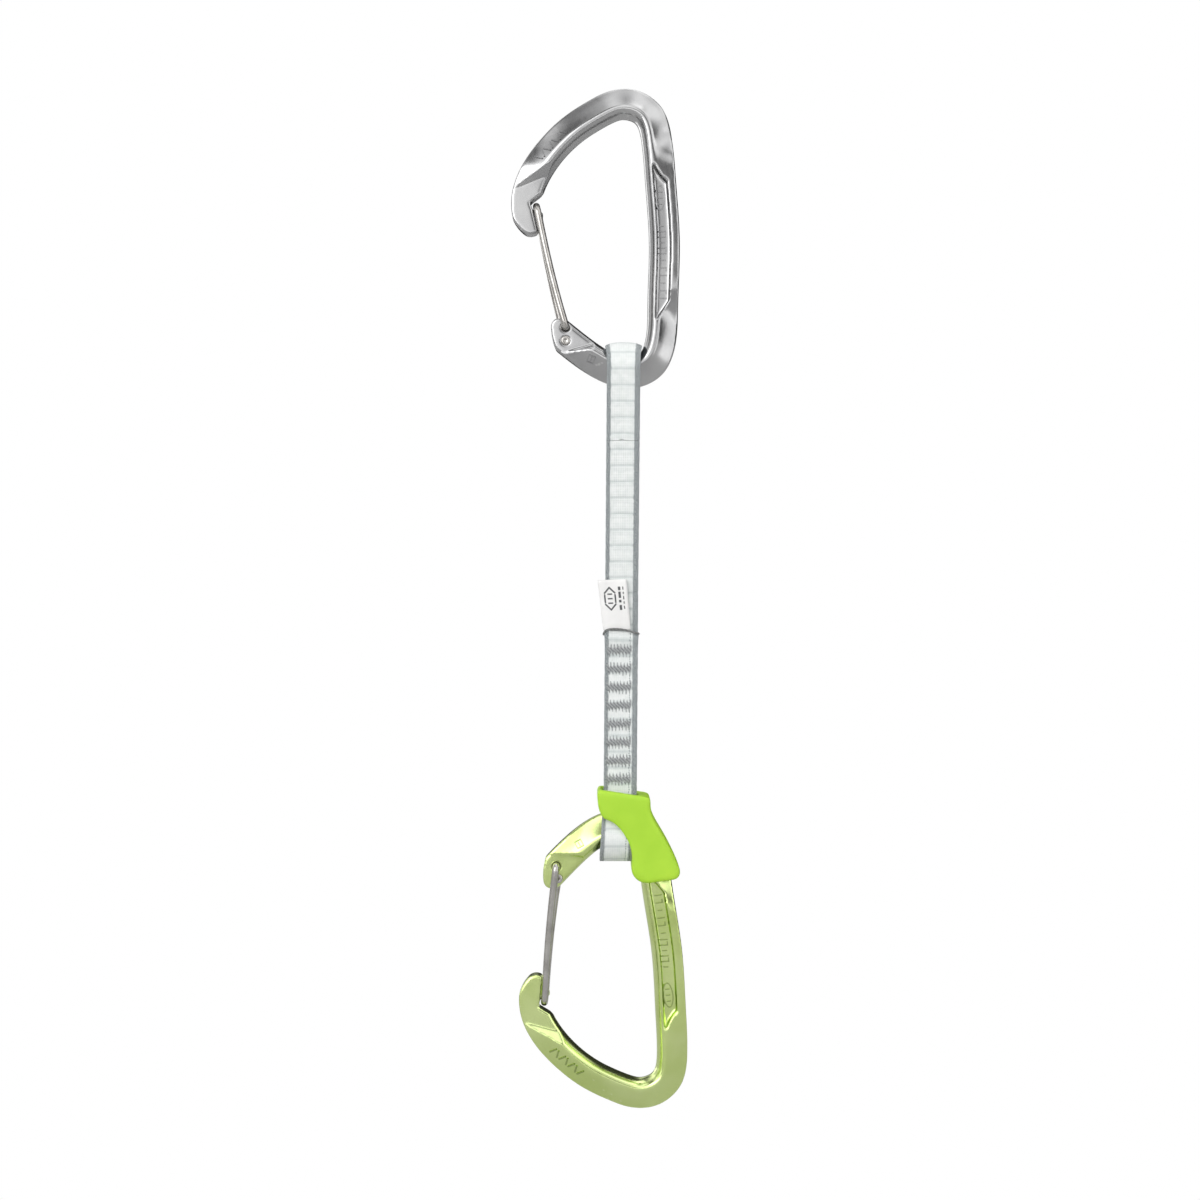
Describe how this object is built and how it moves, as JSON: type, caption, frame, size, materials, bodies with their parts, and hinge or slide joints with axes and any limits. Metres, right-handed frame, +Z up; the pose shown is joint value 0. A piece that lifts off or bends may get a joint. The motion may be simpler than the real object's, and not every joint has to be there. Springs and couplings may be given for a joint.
{
  "type": "climbing quickdraw",
  "caption": "Quickdraw: bolt-end and rope-end wiregate carabiners joined by a narrow sewn webbing sling with a rubber keeper.",
  "frame": {"origin": "highest inner point of the upper carabiner's window, where it hangs from a bolt hanger", "axes": "+Z up; +X across the carabiners towards their solid spines; Y through the thickness of the carabiners, -Y the side with the label"},
  "size_m": [0.0587, 0.0194, 0.3396],
  "materials": {
    "natural_aluminium": "polished",
    "green_aluminium": "polished anodised",
    "steel_wire": "drawn wire",
    "webbing": "woven",
    "thread": "sewn",
    "label": "woven",
    "keeper_rubber": "satin"
  },
  "bodies": {
    "upper_carabiner": {"upper_carabiner_body": "natural_aluminium", "upper_gate_wire_ends": "steel_wire"},
    "upper_gate": {"upper_gate_wire": "steel_wire"},
    "sling_top": {"webbing_upper_bight": "webbing"},
    "sling_upper": {"webbing_upper_legs": "webbing"},
    "sling_lower": {"webbing_sewn_part": "webbing", "webbing_end_lap": "webbing", "label": "label", "label_seam": "thread", "bar_tack_1": "thread", "bar_tack_2": "thread", "bar_tack_3": "thread", "bar_tack_4": "thread", "bar_tack_5": "thread", "bar_tack_6": "thread", "bar_tack_7": "thread", "bar_tack_8": "thread"},
    "lower_carabiner": {"lower_carabiner_body": "green_aluminium", "lower_gate_wire_ends": "steel_wire", "webbing_lower_loop": "webbing", "rubber_keeper": "keeper_rubber"},
    "lower_gate": {"lower_gate_wire": "steel_wire"}
  },
  "joints": [
    {"name": "upper_gate_swing", "type": "hinge", "parent": "upper_carabiner", "child": "upper_gate", "pos_m": [-0.0187, 0, -0.072], "axis": [0, 1, 0], "range_deg": [0, 42], "stiffness_Nm_per_rad": 0.15, "springref_deg": -20.05},
    {"name": "sling_swing", "type": "hinge", "parent": "upper_carabiner", "child": "sling_top", "pos_m": [0.0005, 0, -0.0836], "axis": [1, 0, 0], "range_deg": [-100, 100]},
    {"name": "sling_rock", "type": "hinge", "parent": "sling_top", "child": "sling_upper", "pos_m": [0.00042, 0, -0.094], "axis": [0, 1, 0], "range_deg": [-12, 12]},
    {"name": "sling_twist", "type": "hinge", "parent": "sling_upper", "child": "sling_lower", "pos_m": [0.00019, 0, -0.1236], "axis": [0.0079, 0, 1], "range_deg": [-60, 60], "stiffness_Nm_per_rad": 0.004},
    {"name": "sling_flex", "type": "hinge", "parent": "sling_lower", "child": "lower_carabiner", "pos_m": [-0.0006, 0, -0.223], "axis": [1, 0, 0], "range_deg": [-30, 30]},
    {"name": "lower_gate_swing", "type": "hinge", "parent": "lower_carabiner", "child": "lower_gate", "pos_m": [-0.02155, 0, -0.25059], "axis": [0, -1, 0], "range_deg": [0, 42], "stiffness_Nm_per_rad": 0.15, "springref_deg": -20.05}
  ]
}
